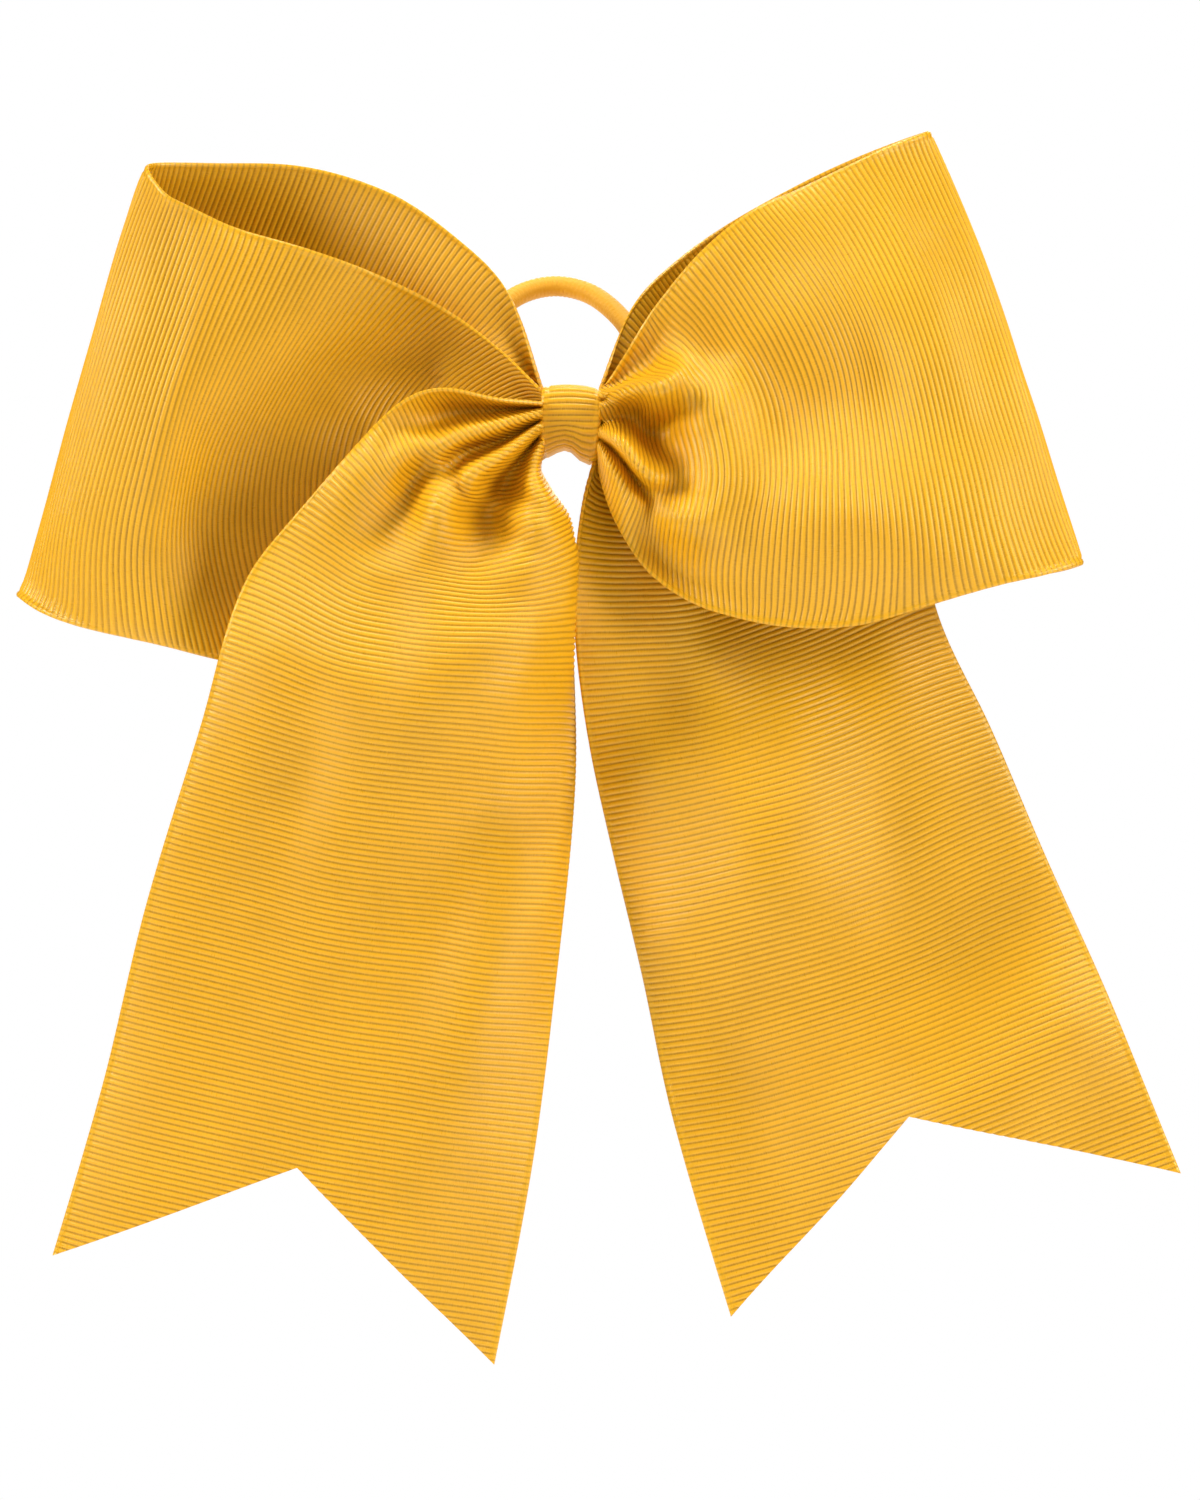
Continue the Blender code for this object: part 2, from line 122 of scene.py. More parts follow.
RIGHT_TAIL = [
    [(4.5, -11, -4.5), (4.5, -8, -3), (4.5, -11.5, -2), (4.5, -8, -0.5), (4.5, -11.5, 1), (4.5, -8, 2.5),
     (4.5, -10.5, 3.5)],
    [(2, -14, -13), (7, -8, -10), (11, -13, -8), (15.5, -7, -5), (19, -12, -1.5), (21.5, -7, 0.5),
     (21, -8, 4.5)],
    [(0.5, -15, -26), (9, -11, -24.5), (18, -14, -22.5), (26.5, -10, -18.5), (35.5, -11, -13),
     (42.5, -8, -6.5), (48, -4, 0.5)],
    [(1, -13, -38.5), (10, -14, -37.5), (19.5, -16, -36), (29, -11, -32), (39, -10, -27.5), (48, -9, -22),
     (55.5, -3, -16)],
    [(3, -11, -52.5), (12.5, -15, -50.5), (22.5, -18, -48.5), (32, -14, -44.5), (42, -9, -40.5),
     (51.5, -9, -36), (60, -4, -32.5)],
    [(6.5, -9, -68.5), (16.5, -14, -66.5), (26.5, -18, -64), (37, -16, -61.5), (47.5, -11, -57.5),
     (58, -10, -53), (68, -6, -49.5)],
    [(11.5, -8, -89.5), (21.5, -11, -88), (32.5, -15, -85), (43, -16, -82), (54.5, -13, -78),
     (65, -11, -73), (76, -8, -68.5)],
    [(16.5, -8, -113), (27, -9, -111.5), (38.5, -12, -108), (50, -14, -104), (61.5, -14, -99.5),
     (73.5, -12, -94.5), (85.5, -9, -90)],
    [(27.5, -8, -150.5), (39, -8, -146.5), (51.5, -9, -143), (63.5, -10, -138.5), (75.5, -11, -134.5),
     (87.5, -10, -130.5), (100.5, -9, -126)],
]
LEFT_LOOP = [
    [(-4.5, -11, 4.5), (-4.5, -9, 2.5), (-4.5, -10.5, 1), (-4.5, -8.5, -1), (-4.5, -10.5, -2.5),
     (-4.5, -8.5, -4.5)],
    [(-11.5, -11, 11.5), (-12, -9, 6), (-13, -8.5, 2.5), (-14, -8.5, -0.5), (-13, -9, -5),
     (-9, -9, -9.5)],
    [(-20.5, -13, 18), (-23.5, -10, 12.5), (-26.5, -8, 7), (-27.5, -8.5, 0), (-25, -9.5, -10),
     (-18.5, -10.5, -22.5)],
    [(-32, -16, 23.5), (-36, -11.5, 15), (-40.5, -8.5, 7), (-44, -8.5, -3), (-42, -10, -16),
     (-32.5, -12, -34)],
    [(-43.5, -19.5, 27.5), (-48.5, -18, 15.5), (-53.5, -16, 4), (-57.5, -11, -8), (-57.5, -9.5, -21.5),
     (-50, -12, -39.5)],
    [(-53, -21, 30), (-58, -21, 17), (-63, -20.5, 3), (-66.5, -19, -10), (-68.5, -16.5, -22.5),
     (-66, -15, -36.5)],
    [(-61, -22, 33.5), (-65.5, -20, 20), (-70.5, -18, 5.5), (-75, -16, -8), (-78.5, -13, -21.5),
     (-79.5, -10, -33.5)],
    [(-65, -22, 36), (-70, -18, 23), (-75, -15, 8.5), (-79.5, -12, -5), (-83.5, -9, -19),
     (-86.5, -4, -31)],
    [(-67.5, -20, 40), (-72.5, -15, 27), (-77, -11, 13.5), (-81.5, -7, -0.5), (-86, -3, -14),
     (-90.5, 1, -28)],
    [(-66, -17, 41), (-71, -11, 26.5), (-76, -6, 13.5), (-80.5, -2, -0.5), (-85.5, 3, -14.5),
     (-90, 6, -28.5)],
    [(-57.5, -13, 41.5), (-63, -5, 28), (-68.5, 0, 13.5), (-73.5, 4, -1), (-78, 8, -14.5),
     (-80.5, 10, -30)],
    [(-43.5, -8, 41.5), (-49, -2, 27.5), (-54.5, 4, 13), (-59, 7, -0.5), (-62, 9, -14.5), (-63, 9, -30)],
    [(-30, -6, 37.5), (-34.5, -4, 24), (-38.5, 0, 12), (-41.5, 2, -1), (-43, 4, -14), (-41.5, 3, -28.5)],
    [(-19.5, -6, 30.5), (-21.5, -6, 20), (-23.5, -5, 10), (-26, -4, -0.5), (-25.5, -3, -11),
     (-21.5, -3, -20)],
    [(-10.5, -7, 21.5), (-11, -6, 14), (-12.5, -8, 8.5), (-13, -6, 2), (-13, -8, -4.5),
     (-10, -6.5, -11)],
    [(-4.5, -8, 4.5), (-4.5, -6, 2.5), (-4.5, -8, 1), (-4.5, -6, -1), (-4.5, -8, -2.5),
     (-4.5, -6, -4.5)],
]
RIGHT_LOOP = [
    [(4.5, -12, 4.5), (4.5, -15, 3.5), (4.5, -12, 3), (4.5, -16, 2), (4.5, -15, 0.5), (4.5, -12, -0.5),
     (4.5, -15.5, -2), (4.5, -12, -3), (4.5, -15, -4), (4.5, -13, -5)],
    [(7.5, -13, 8.5), (8.5, -12, 6), (10, -21, 4.5), (10, -12, 1), (8, -23, -4), (7.5, -13, -5.5),
     (6.5, -20, -8), (5, -15, -10)],
    [(11, -14, 14.5), (13, -13, 8.5), (15, -24, 4.5), (13.5, -13, -1.5), (12.5, -26, -9),
     (11.5, -15, -11), (10, -22, -14), (7.5, -18, -17.5)],
    [(15, -15, 20), (19, -16, 12.5), (21.5, -19, 5), (20.5, -19, -1), (19.5, -21, -8.5), (17, -20, -14),
     (14.5, -21, -19.5), (12.5, -20, -25)],
    [(20.5, -17, 26.5), (25, -18, 15.5), (28.5, -21, 5), (29, -21, -3), (28, -23, -11), (25, -22, -18),
     (23, -23, -24.5), (22.5, -21, -31)],
    [(29, -15, 33.5), (35, -17, 26), (41, -20, 17), (44.5, -20, 8.5), (45.5, -20, 2), (46, -22, -4.5),
     (46, -25, -11), (46.5, -27, -17.5), (46.5, -27, -25.5), (44.5, -23, -34)],
    [(37, -12, 37.5), (43, -15, 29.5), (48, -19, 19.5), (52, -21, 10), (54, -22, 2.5), (55.5, -23, -4),
     (56.5, -25, -10), (58, -26, -17.5), (59, -26, -24.5), (59.5, -24, -29.5)],
    [(46, -9, 42), (51.5, -12, 33), (56.5, -16, 22.5), (60, -19, 11.5), (62, -20, 4.5), (63.5, -21, -2),
     (65, -23, -8.5), (67, -24, -16), (69, -25, -23), (70, -24, -26.5)],
    [(51, -7, 44.5), (55.5, -9, 34.5), (60, -13, 24), (64, -15, 13), (65.5, -17, 5.5), (67.5, -18, -1),
     (69.5, -20, -7.5), (71.5, -21, -15), (74, -22, -22), (75.5, -22, -25.5)],
    [(58, -2, 47.5), (62, -4, 38), (66.5, -7, 27), (70, -9, 16.5), (72.5, -11, 9), (75, -12, 2),
     (77, -13, -5), (79, -15, -13), (81, -17, -20.5), (82, -18, -23.5)],
    [(53.5, 2, 46.5), (58.5, 1, 37), (63, -1, 26.5), (67, -3, 16), (69.5, -4, 8.5), (71.5, -5, 1.5),
     (73.5, -7, -5.5), (76, -9, -13), (78, -11, -20.5), (79, -12, -24.5)],
    [(41, 6, 41.5), (46, 7, 32), (50.5, 7, 22), (55, 6, 12), (57, 5, 5.5), (59.5, 4, -1),
     (61.5, 2, -7.5), (64, 0, -15), (66, -3, -21.5), (67, -4, -26)],
    [(27, 7, 34), (31.5, 8, 25.5), (36, 9, 16.5), (39.5, 9, 7.5), (41.5, 8, 2.5), (43.5, 8, -3),
     (45, 7, -9), (47, 6, -15.5), (48.5, 4, -22), (49, 3, -28.5)],
    [(17.5, 1, 27), (21, 3, 20.5), (24.5, 4, 13), (27.5, 5, 6), (28.5, 5, 2), (29.5, 5, -2.5),
     (30.5, 4, -7.5), (31.5, 4, -13), (31.5, 3, -19.5), (30, 2, -27)],
    [(9.5, -6, 18), (11, -6, 13.5), (13, -5, 9), (15, -4, 4.5), (15.5, -4, 1.5), (16, -4, -1),
     (16.5, -4, -4.5), (16.5, -4, -8.5), (15, -5, -12.5), (13, -5.5, -17.5)],
    [(4.5, -8, 4.5), (4.5, -6, 3.5), (4.5, -8, 2.5), (4.5, -6, 1.5), (4.5, -8, 0.5), (4.5, -6, -0.5),
     (4.5, -8, -1.5), (4.5, -6, -2.5), (4.5, -8, -3.5), (4.5, -6, -4.5)],
]

# The first and last sections of a loop that lie straight across the ribbon, along a rib, and the
# first of each tail, whose last is its end
LOOP_RIBS = (5, 10)
LEFT_TAIL_RIB = 6
RIGHT_TAIL_RIB = 5

# Where each tail's cut runs on the flat ribbon, as (along, across): tip, bottom of the notch, tip
LEFT_CUT = [(112.7, 0.0), (89.3, 36.7), (115.7, RIBBON_WIDTH)]
RIGHT_CUT = [(77.4, 0.0), (54.4, 37.9), (78.5, RIBBON_WIDTH)]

# Soft folds: lines through points (x, z, how far forwards, half width)
LEFT_TAIL_FOLDS = [
    [(-17.5, -3, 0.5, 3.5), (-27, -5.5, 2.5, 5), (-33.5, -10, 2.5, 6), (-37.5, -16.5, 1, 7)],
    [(-21, -7.5, -0.5, 3), (-26.5, -11.5, -3, 4), (-29, -17.5, -3.5, 5.5), (-31, -24.5, -1.5, 8)],
    [(-15, -7, 0.5, 3), (-18.5, -10.5, 2.5, 5), (-22, -15.5, 3.5, 6.5), (-23.5, -21, 3, 7),
     (-21.5, -27, 2, 8), (-16, -31.5, 0.5, 8)],
    [(-9.5, -7.5, -0.5, 3), (-12, -11, -2.5, 4), (-15, -15.5, -2.5, 5), (-16.5, -20.5, -1.5, 6)],
    [(-5.5, -8, 0.5, 3), (-4, -14, 2, 5), (-5, -22, 2, 8), (-9, -29.5, 1, 10)],
    [(-2.5, -51.5, -2.5, 9), (-16, -67.5, -5, 12.5), (-32, -85, -3.5, 13.5), (-43.5, -99.5, -1.5, 14.5)],
    [(-5.5, -74, 3.5, 8), (-11.5, -93, 3.5, 10), (-16, -112.5, 1.5, 11)],
    [(-54.5, -37, 2.5, 11.5), (-35.5, -43.5, 5, 11.5), (-16, -42, 3.5, 10)],
]
RIGHT_TAIL_FOLDS = [
    [(17, -43.5, -3.5, 9), (30.5, -37, -2.5, 11)],
    [(42, -51.5, 5, 11.5), (30.5, -71, 3.5, 11.5)],
    [(64.5, -82.5, -3.5, 11.5), (46.5, -93.5, -5, 12.5), (27.5, -103, -3.5, 11.5)],
    [(79, -98.5, 3.5, 11.5), (62.5, -111.5, 3.5, 11.5)],
    [(12.5, -58, 2.5, 7), (17.5, -80.5, 2.5, 8)],
]
RIGHT_LOOP_FOLDS = [
    [(7.5, 2.5, 1.5, 2.5), (13, 4, 3, 3.5), (19, 4, 4.5, 4.5), (23, -0.5, 5, 5.5),
     (23.5, -7.5, 4.5, 5.5), (20.5, -15, 3.5, 5)],
    [(8, -0.5, -1.5, 2.5), (12, -3, -3, 3.5), (15.5, -6.5, -4, 4.5), (16.5, -10.5, -3, 4)],
    [(5.5, -2.5, 1.5, 2), (8.5, -8, 3, 3), (12.5, -13.5, 3.5, 3.5), (19.5, -17, 3, 4.5),
     (28.5, -18.5, 1.5, 7)],
    [(6, -7, -1, 2), (10, -14, -2.5, 2.5), (13.5, -21, -4.5, 4), (18, -25.5, -4, 5),
     (27, -27.5, -2.5, 7), (41.5, -27, -2, 10)],
    [(6.5, -14, 1, 2), (11, -22.5, 2, 3), (15.5, -29.5, 2.5, 4), (27, -35, 1.5, 6)],
    [(26.5, 9, -2, 6), (31.5, 4.5, -3.5, 8), (34, -3.5, -2, 9)],
    [(35, -10, 1.5, 8), (44.5, -13.5, 2, 11), (57.5, -16.5, 1, 12)],
]
LEFT_LOOP_FOLDS = [
    [(-35.5, 1.5, -1.5, 7), (-30, 8.5, -3.5, 8), (-22.5, 13.5, -3.5, 7), (-14.5, 11, -1.5, 5)],
    [(-52.5, -18.5, -1, 11), (-49.5, -11.5, -2.5, 10), (-45, -1.5, -1.5, 9)],
    [(-61.5, 33.5, 1, 10), (-63.5, 19, 2, 12), (-68, 3, 2, 14), (-71, -13, 1, 14)],
    [(-39, 19, 1.5, 10), (-42, 8, 2, 10), (-45, -5, 1, 9)],
]


# ---- ribbon surfaces

def ramp(low, high, x):
    """0 below low, 1 above high, a smooth step between."""
    t = np.clip((x - low) / (high - low), 0, 1)
    return t * t * (3 - 2 * t)


def smooth(knots, values, at):
    """Values along a smooth curve through the knots (cubic Hermite, knots rising)."""
    knots = np.asarray(knots, float)
    values = np.asarray(values, float)
    at = np.asarray(at, float)
    shape = (-1,) + (1,) * (values.ndim - 1)
    slope = np.empty_like(values)
    slope[1:-1] = (values[2:] - values[:-2]) / (knots[2:] - knots[:-2]).reshape(shape)
    slope[0] = (values[1] - values[0]) / (knots[1] - knots[0])
    slope[-1] = (values[-1] - values[-2]) / (knots[-1] - knots[-2])
    i = np.clip(np.searchsorted(knots, at, side="right") - 1, 0, len(knots) - 2)
    step = (knots[i + 1] - knots[i]).reshape(shape)
    u = (at - knots[i]).reshape(shape) / step
    return ((2 * u**3 - 3 * u**2 + 1) * values[i] + (u**3 - 2 * u**2 + u) * step * slope[i]
            + (3 * u**2 - 2 * u**3) * values[i + 1] + (u**3 - u**2) * step * slope[i + 1])


def spaced(section, count):
    """A section's curve as count points at equal distances along it."""
    section = np.asarray(section, float)
    steps = np.linspace(0, len(section) - 1, CURVE_STEPS * len(section))
    dense = smooth(range(len(section)), section, steps)
    travel = np.concatenate([[0], np.cumsum(np.linalg.norm(np.diff(dense, axis=0), axis=1))])
    even = np.linspace(0, travel[-1], count)
    return np.stack([np.interp(even, travel, dense[:, k]) for k in range(3)], axis=1)


class Drawn:
    """A ribbon as drawn: sections from selvedge to selvedge, and how far along the ribbon each lies.

    The sections from first_rib to last_rib each follow one rib, so they lie straight across the
    ribbon. Nearer the knot the sections fan out, and their distance along the ribbon changes
    evenly from selvedge to selvedge.
    """

    def __init__(self, sections, first_rib, last_rib):
        self.points = np.array([spaced(section, SECTION_COLUMNS) for section in sections])
        count = len(sections)
        steps = np.linspace(0, count - 1, SECTION_STEPS * (count - 1) + 1)
        dense = smooth(range(count), self.points, steps)
        hops = np.linalg.norm(np.diff(dense, axis=0), axis=2)
        hops = hops.reshape(count - 1, SECTION_STEPS, SECTION_COLUMNS).sum(axis=1)
        self.across = np.linspace(0, 1, SECTION_COLUMNS)
        self.along = np.zeros((count, SECTION_COLUMNS))
        for k in range(first_rib + 1, count):
            self.along[k] = self.along[k - 1] + hops[k - 1].mean()
        for k in range(first_rib - 1, -1, -1):
            self.along[k] = self.evenly(self.along[first_rib] - hops[k:first_rib].sum(axis=0))
        for k in range(last_rib + 1, count):
            self.along[k] = self.evenly(self.along[last_rib] + hops[last_rib:k].sum(axis=0))
        self.start = np.polynomial.Polynomial.fit(self.across, self.along[0], 1)
        self.end = np.polynomial.Polynomial.fit(self.across, self.along[-1], 1)
        self.ends_in_knot = last_rib < count - 1

    def evenly(self, values):
        """The straight line across the ribbon that is closest to the values."""
        return np.polynomial.Polynomial.fit(self.across, values, 1)(self.across)

    def length(self):
        """The longest run from end to end, which is along one selvedge or the other."""
        edges = np.array([0.0, 1.0])
        return float((self.end(edges) - self.start(edges)).max())

    def grid(self, rows, columns):
        """Flat places (along, across) of a grid on the ribbon, and where they are drawn."""
        v = np.linspace(0, 1, columns)
        points = smooth(self.across, self.points.transpose(1, 0, 2), v)
        along = smooth(self.across, self.along.T, v)
        flat = np.empty((rows, columns, 2))
        drawn = np.empty((rows, columns, 3))
        for j in range(columns):
            s = np.linspace(along[j, 0], along[j, -1], rows)
            flat[:, j, 0] = s
            flat[:, j, 1] = v[j] * RIBBON_WIDTH
            drawn[:, j] = smooth(along[j], points[j], s)
        return flat, drawn


def resized(grid, rows, columns):
    """A grid of points read again at another number of rows and columns."""
    n, m = grid.shape[:2]
    longer = smooth(range(n), grid, np.linspace(0, n - 1, rows))
    wider = smooth(range(m), longer.transpose(1, 0, 2), np.linspace(0, m - 1, columns))
    return wider.transpose(1, 0, 2)


def springs(flat):
    """Pairs of neighbours with their flat distance and stiffness, in batches that share no point."""
    n, m = flat.shape[:2]
    number = np.arange(n * m).reshape(n, m)
    batches = []
    for down, over, stiffness in ((1, 0, 1.0), (0, 1, 1.0), (1, 1, SHEAR), (1, -1, SHEAR)):
        here = (slice(0, n - down), slice(max(0, -over), m - max(0, over)))
        there = (slice(down, n), slice(max(0, over), m + min(0, over)))
        a = number[here].ravel()
        b = number[there].ravel()
        rest = np.linalg.norm(flat[there] - flat[here], axis=2).ravel()
        turn = (a // m if down else a % m) % 2
        for parity in (0, 1):
            chosen = turn == parity
            batches.append((a[chosen], b[chosen], rest[chosen], stiffness, down == 0))
    return batches


def bent(points):
    """How far each point is from the mean of its neighbours, row by row and column by column."""
    out = np.zeros_like(points)
    out[1:-1] += (points[:-2] + points[2:]) / 2 - points[1:-1]
    out[:, 1:-1] += (points[:, :-2] + points[:, 2:]) / 2 - points[:, 1:-1]
    return out


def relax(drawn, flat, points, target, rounds):
    """The points after moving, round by round, towards a sheet that keeps its flat distances.

    Each round pulls them a little towards where they are drawn, smooths the bends, and then
    moves each pair of neighbours towards its distance on the flat ribbon.
    """
    rows, columns = flat.shape[:2]
    to_knot = flat[..., 0] - flat[:1, :, 0]
    if drawn.ends_in_knot:
        to_knot = np.minimum(to_knot, flat[-1:, :, 0] - flat[..., 0])
    crushed = np.clip(1 - to_knot / KNOT_REACH, 0, 1)
    pleated = np.clip(1 - to_knot / PLEAT_REACH, 0, 1)
    pull = np.empty((rows, columns, 3))
    pull[...] = (PULL + (PLEAT_PULL - PULL) * pleated)[..., None]
    pull[..., 1] = DEPTH_PULL + (PLEAT_PULL - DEPTH_PULL) * pleated
    pull[:, [0, -1]] = (SELVEDGE_PULL, SELVEDGE_DEPTH_PULL, SELVEDGE_PULL)
    held = KNOT_PULL * crushed ** 1.5 + END_PULL * (to_knot < 0.1)
    pull = np.maximum(pull, held[..., None])
    firm = ((1 - crushed) ** 2).ravel()
    firm_across = (ramp(GATHER_REACH / 2, GATHER_REACH, to_knot) ** 2).ravel()
    points = points.reshape(-1, 3).copy()
    target = target.reshape(-1, 3)
    pull = pull.reshape(-1, 3)
    as_grid = points.reshape(rows, columns, 3)
    batches = springs(flat)
    for _ in range(rounds):
        points += pull * (target - points)
        as_grid -= BENDING * bent(bent(as_grid))
        for a, b, rest, stiffness, across in batches:
            resists = firm_across if across else firm
            apart = points[b] - points[a]
            distance = np.sqrt((apart ** 2).sum(axis=1)) + 1e-9
            off = (distance - rest) / distance
            share = stiffness * np.where(off < 0, SQUEEZE * np.minimum(resists[a], resists[b]), 1)
            step = apart * (off * share / 2)[:, None]
            points[a] += step
            points[b] -= step
    return as_grid


def folded(points, folds, share):
    """The points moved forwards or back by soft folds, as far as share lets them."""
    out = points.copy()
    for fold in folds:
        line = smooth(range(len(fold)), fold, np.linspace(0, len(fold) - 1, FOLD_STEPS * len(fold)))
        gap = np.hypot(points[..., None, 0] - line[:, 0], points[..., None, 2] - line[:, 1])
        nearest = line[gap.argmin(axis=-1)]
        out[..., 1] -= share * nearest[..., 2] * np.exp(-(gap.min(axis=-1) / nearest[..., 3]) ** 2)
    return out


class Surface:
    """A relaxed ribbon: the place in space of any flat place (along, across)."""

    def __init__(self, sections, first_rib, last_rib, folds):
        self.drawn = Drawn(sections, first_rib, last_rib)
        points = None
        for step, rounds in zip(GRID_STEPS, ROUNDS):
            rows = int(self.drawn.length() / step) + 1
            columns = int(RIBBON_WIDTH / step) + 1
            flat, target = self.drawn.grid(rows, columns)
            points = target if points is None else resized(points, rows, columns)
            points = relax(self.drawn, flat, points, target, rounds)
        turn = self.drawn.along[last_rib].mean() / 2
        front = 1
        if self.drawn.ends_in_knot:
            front = 1 - ramp(turn - TURN_FADE, turn + TURN_FADE, flat[..., 0])
        points = folded(points, folds, front)
        self.points = points
        self.slope_along = np.gradient(points, axis=0)
        self.slope_across = np.gradient(points, axis=1)
        self.twist = np.gradient(self.slope_along, axis=1)

    def at(self, along, across):
        """Points of the surface by bicubic patches."""
        rows, columns = self.points.shape[:2]
        v = across / RIBBON_WIDTH
        start = self.drawn.start(v)
        end = self.drawn.end(v)
        i = np.clip((along - start) / (end - start) * (rows - 1), 0, rows - 1)
        j = np.clip(v * (columns - 1), 0, columns - 1)
        i0 = np.minimum(i.astype(int), rows - 2)
        j0 = np.minimum(j.astype(int), columns - 2)
        di = (i - i0)[:, None]
        dj = (j - j0)[:, None]

        def basis(u):
            return (2*u**3 - 3*u**2 + 1, 3*u**2 - 2*u**3, u**3 - 2*u**2 + u, u**3 - u**2)

        a = basis(di)
        b = basis(dj)
        out = 0
        for p in (0, 1):
            for q in (0, 1):
                spot = (i0 + p, j0 + q)
                out = out + a[p] * b[q] * self.points[spot]
                out = out + a[p + 2] * b[q] * self.slope_along[spot]
                out = out + a[p] * b[q + 2] * self.slope_across[spot]
                out = out + a[p + 2] * b[q + 2] * self.twist[spot]
        return out

    def normals(self, along, across, reach=0.4):
        tangent = self.at(along + reach, across) - self.at(along - reach, across)
        sideways = (self.at(along, np.minimum(across + reach, RIBBON_WIDTH))
                    - self.at(along, np.maximum(across - reach, 0)))
        normal = np.cross(tangent, sideways)
        return normal / (np.linalg.norm(normal, axis=1)[:, None] + 1e-12)


# ---- ribbon meshes

def half_thickness(along, across, width):
    """From the ribbon's middle to its face: ribs, and a woven bead along each selvedge."""
    phase = (along / RIB_PITCH) % 1
    stops = [p for p, _ in RIB_ROWS] + [1.0]
    heights = [h for _, h in RIB_ROWS] + [RIB_ROWS[0][1]]
    rib = RIB_RELIEF * np.interp(phase, stops, heights)
    edge = np.minimum(across, width - across)
    inside = ramp(*RIB_FADE, edge)
    cord = np.sin(math.pi * np.clip(edge / SELVEDGE, 0, 1)) * SELVEDGE_BEAD
    twist = SELVEDGE_TWIST * np.cos(2 * math.pi * (along / RIB_PITCH + edge / SELVEDGE))
    body = RIBBON_HALF_THICKNESS * (EDGE_THICKNESS + (1 - EDGE_THICKNESS) * ramp(-0.02, EDGE_TAPER, edge))
    return body + inside * rib + (1 - inside) * (cord + twist * ramp(0.1, 0.4, edge))


def width_columns(width, also=None):
    """Where the columns of vertices lie across a ribbon, close together at the selvedges."""
    inner = EDGE_COLUMNS[-1]
    stops = [inner, width - inner] if also is None else [inner, also, width - inner]
    columns = list(EDGE_COLUMNS[:-1])
    for low, high in zip(stops, stops[1:]):
        count = max(1, round((high - low) / COLUMN_STEP))
        columns += [low + (high - low) * k / count for k in range(count)]
    columns += [width - c for c in reversed(EDGE_COLUMNS)]
    return columns


def flat_ribbon(low, high, width, also=None):
    """A flat grid with its rows on the ribs, as a bmesh with x along and y across."""
    columns = width_columns(width, also)
    first = math.floor(low / RIB_PITCH) - 1
    last = math.ceil(high / RIB_PITCH) + 1
    rows = [(k + phase) * RIB_PITCH for k in range(first, last) for phase, _ in RIB_ROWS]
    bm = bmesh.new()
    verts = [[bm.verts.new((s, w, 0)) for w in columns] for s in rows]
    for i in range(len(rows) - 1):
        for j in range(len(columns) - 1):
            bm.faces.new((verts[i][j], verts[i + 1][j], verts[i + 1][j + 1], verts[i][j + 1]))
    return bm


def snip(bm, a, b, keep, low=-1e6, high=1e6):
    """Cuts the flat ribbon along the line from a to b, between two places across it.

    keep is -1 to keep what lies before the line and 1 to keep what lies after it.
    """
    a = Vector((*a, 0))
    b = Vector((*b, 0))
    line = b - a
    normal = Vector((line.y, -line.x, 0)).normalized()
    if normal.x < 0:
        normal = -normal
    chosen = [f for f in bm.faces if low < f.calc_center_median().y < high]
    edges = list({e for f in chosen for e in f.edges})
    verts = list({v for f in chosen for v in f.verts})
    bmesh.ops.bisect_plane(bm, geom=chosen + edges + verts, dist=1e-4, plane_co=a, plane_no=normal)
    gone = [f for f in bm.faces
            if low < f.calc_center_median().y < high
            and keep * (f.calc_center_median() - a).dot(normal) < 0]
    bmesh.ops.delete(bm, geom=gone, context="FACES")


def thick_mesh(name, bm, place, normal_at, width):
    """Closes the flat ribbon into a thin solid: both faces and the rim, mapped into space."""
    bm.verts.ensure_lookup_table()
    bm.verts.index_update()
    flat = np.array([v.co for v in bm.verts])
    s, w = flat[:, 0], flat[:, 1]
    count = len(flat)
    middle = place(s, w)
    normal = normal_at(s, w)
    half = half_thickness(s, w, width)[:, None]
    points = np.concatenate([middle + normal * half, middle - normal * half])
    front = [[v.index for v in f.verts] for f in bm.faces]
    faces = front + [[count + k for k in reversed(f)] for f in front]
    rim = []
    for edge in bm.edges:
        if edge.is_boundary:
            loop = edge.link_loops[0]
            a, b = loop.vert.index, loop.link_loop_next.vert.index
            faces.append([b, a, count + a, count + b])
            rim.append((a, b))
    bm.free()
    mesh = bpy.data.meshes.new(name)
    mesh.from_pydata((points * MM).tolist(), [], faces)
    mesh.shade_smooth()
    rims = {frozenset(e) for e in rim} | {frozenset((count + a, count + b)) for a, b in rim}
    corners = np.empty(2 * len(mesh.edges), int)
    mesh.edges.foreach_get("vertices", corners)
    sharp = [frozenset(pair) in rims for pair in corners.reshape(-1, 2).tolist()]
    mesh.attributes.new("sharp_edge", "BOOLEAN", "EDGE").data.foreach_set("value", sharp)
    uv = np.concatenate([flat[:, :2], flat[:, :2]])
    loops = np.empty(len(mesh.loops), int)
    mesh.loops.foreach_get("vertex_index", loops)
    layer = mesh.uv_layers.new(name="weave")
    layer.data.foreach_set("uv", uv[loops].ravel())
    obj = bpy.data.objects.new(name, mesh)
    bpy.context.scene.collection.objects.link(obj)
    return obj


def rectangle_of(surface):
    """The ribbon's flat length from its lowest to its highest place along."""
    edges = np.array([0.0, 1.0])
    return float(surface.drawn.start(edges).min()), float(surface.drawn.end(edges).max())


def flat_area(obj):
    """Area of one face of the flat ribbon, from its weave coordinates."""
    mesh = obj.data
    uv = np.empty(2 * len(mesh.loops))
    mesh.uv_layers["weave"].data.foreach_get("uv", uv)
    uv = uv.reshape(-1, 2)
    area = 0.0
    for p in mesh.polygons:
        q = uv[p.loop_start:p.loop_start + p.loop_total]
        x, y = q[:, 0], q[:, 1]
        area += abs(np.dot(x, np.roll(y, -1)) - np.dot(y, np.roll(x, -1))) / 2
    return area / 2


